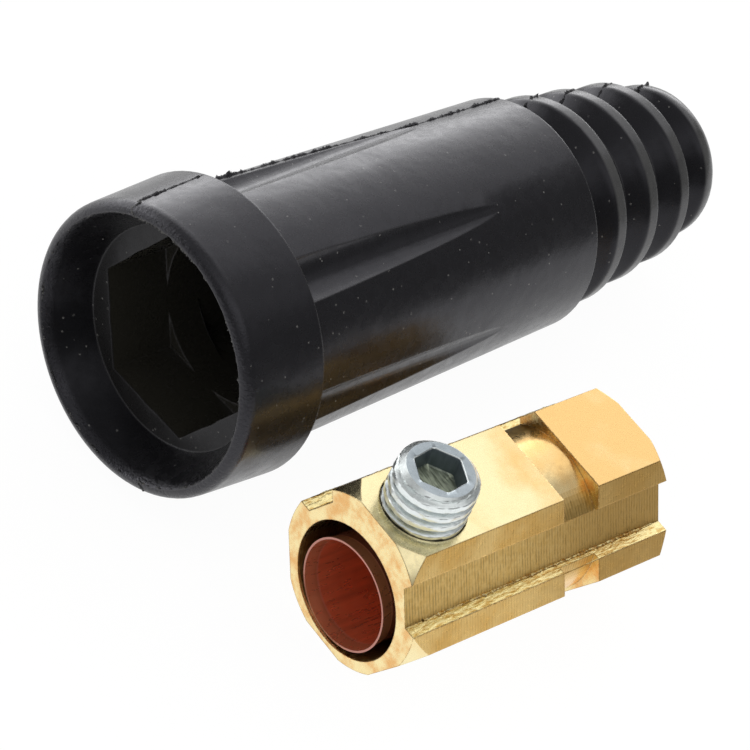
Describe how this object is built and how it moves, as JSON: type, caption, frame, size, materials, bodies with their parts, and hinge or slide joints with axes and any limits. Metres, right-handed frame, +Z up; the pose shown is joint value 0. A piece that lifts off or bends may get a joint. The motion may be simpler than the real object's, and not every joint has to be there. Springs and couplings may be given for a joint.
{
  "type": "welding cable plug",
  "caption": "Socket half of a twist-lock welding cable plug, taken apart: ribbed rubber sleeve beside its hexagonal brass contact with set screw and copper ferrule.",
  "frame": {"origin": "middle of the whole part's bounding box, on the floor that the sleeve and the contact lie on", "axes": "+X along the sleeve in plan, from its mouth to its cable end; +Z up, out of the contact's flat that carries the set screw"},
  "size_m": [0.0928, 0.0652, 0.0356],
  "materials": {
    "rubber": "satin black moulded rubber",
    "brass": "bare machined brass",
    "zinc": "bright zinc-plated steel",
    "copper": null
  },
  "bodies": {
    "base": {"insulating_sleeve": "rubber", "contact_body": "brass", "copper_ferrule": "copper"},
    "screw": {"set_screw": "zinc"}
  },
  "joints": [
    {"name": "screw_travel", "type": "slide", "parent": "base", "child": "screw", "axis": [0, 0, 1], "range_m": [-0.0022, 0.0025]}
  ]
}
